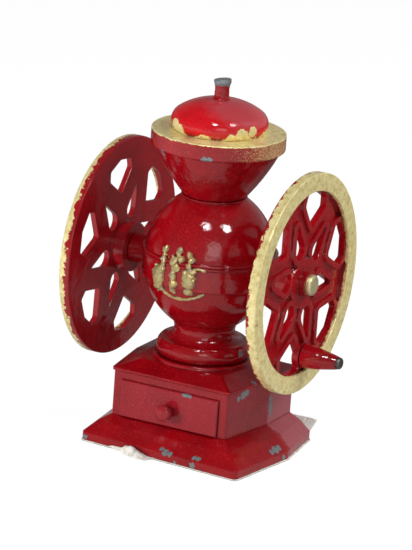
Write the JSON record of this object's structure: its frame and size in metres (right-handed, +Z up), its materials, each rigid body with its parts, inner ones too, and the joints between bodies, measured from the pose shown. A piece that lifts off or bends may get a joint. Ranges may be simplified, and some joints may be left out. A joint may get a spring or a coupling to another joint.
{
  "type": "hand crank coffee grinder",
  "caption": "Counter coffee mill: twin openwork flywheels turn a horizontal burr set under a lidded hopper, over a drawer for the grounds.",
  "frame": {"origin": "middle of the pad's underside, below the vertical axis of the body", "axes": "+Z up, +X along the axle to the wheel that carries the handle, drawer opens towards -Y"},
  "size_m": [0.2655, 0.222, 0.3715],
  "materials": {
    "red_enamel": "thick glossy red enamel over cast iron, with a few chips",
    "wheel_enamel": "red enamel; pale gold paint on the rim",
    "rim_enamel": "red enamel with worn gold paint on top",
    "knob_enamel": "red enamel worn to bare grey metal at the top",
    "card": "matt torn card",
    "gilt": "worn gilt",
    "screw_steel": "plain turned steel",
    "shaft_steel": "bright turned steel",
    "tin_plate": "dull tinned sheet",
    "bronze": "oiled bearing bronze",
    "bare_iron": "bare cast iron"
  },
  "bodies": {
    "frame": {"base_pad": "card", "base_plate": "red_enamel", "drawer_housing": "red_enamel", "box_cap": "red_enamel", "tie_bolts": "screw_steel", "drawer_rail_left": "tin_plate", "drawer_rail_right": "tin_plate", "rail_screws": "screw_steel", "lower_casing": "red_enamel", "upper_casing": "red_enamel", "casing_screws": "screw_steel", "hopper": "red_enamel", "hopper_rim": "rim_enamel", "bush_left": "bronze", "bush_right": "bronze", "feed_case": "bare_iron", "fixed_burr": "bare_iron", "burr_screws": "screw_steel", "front_ornament": "gilt"},
    "drawer": {"drawer_tray": "tin_plate", "drawer_front": "red_enamel", "drawer_knob": "red_enamel", "drawer_knob_screw": "screw_steel"},
    "lid": {"lid": "red_enamel", "lid_knob": "knob_enamel", "lid_nut": "screw_steel"},
    "crankshaft": {"axle_shaft": "shaft_steel", "wheel_keys": "screw_steel", "flywheel_right": "wheel_enamel", "flywheel_left": "wheel_enamel", "hub_nut": "screw_steel", "handle_spindle": "screw_steel", "feed_worm": "bare_iron", "worm_pin": "shaft_steel"},
    "handle": {"crank_handle": "red_enamel"},
    "regulator": {"adjusting_screw": "gilt"},
    "burr": {"moving_burr": "bare_iron", "burr_pin": "shaft_steel", "push_rod": "shaft_steel", "burr_spring": "shaft_steel"}
  },
  "joints": [
    {"name": "drawer_slide", "type": "slide", "parent": "frame", "child": "drawer", "axis": [0, -1, 0], "range_m": [0, 0.085]},
    {"name": "lid_lift", "type": "slide", "parent": "frame", "child": "lid", "axis": [0, 0, 1], "range_m": [0, 0.07]},
    {"name": "crank", "type": "hinge", "parent": "frame", "child": "crankshaft", "pos_m": [0, 0, 0.182], "axis": [1, 0, 0], "continuous": true},
    {"name": "handle_spin", "type": "hinge", "parent": "crankshaft", "child": "handle", "pos_m": [0.125, 0.01372, 0.1042], "axis": [1, 0, 0], "continuous": true},
    {"name": "grind_setting", "type": "hinge", "parent": "crankshaft", "child": "regulator", "pos_m": [0.114, 0, 0.182], "axis": [1, 0, 0], "range_deg": [-150, 150]},
    {"name": "burr_slide", "type": "slide", "parent": "crankshaft", "child": "burr", "axis": [1, 0, 0], "range_m": [-0.00052, 0.00052]}
  ],
  "couplings": [
    {"joint": "grind_setting", "follows": "burr_slide", "rad_per_m": 5026.5}
  ]
}
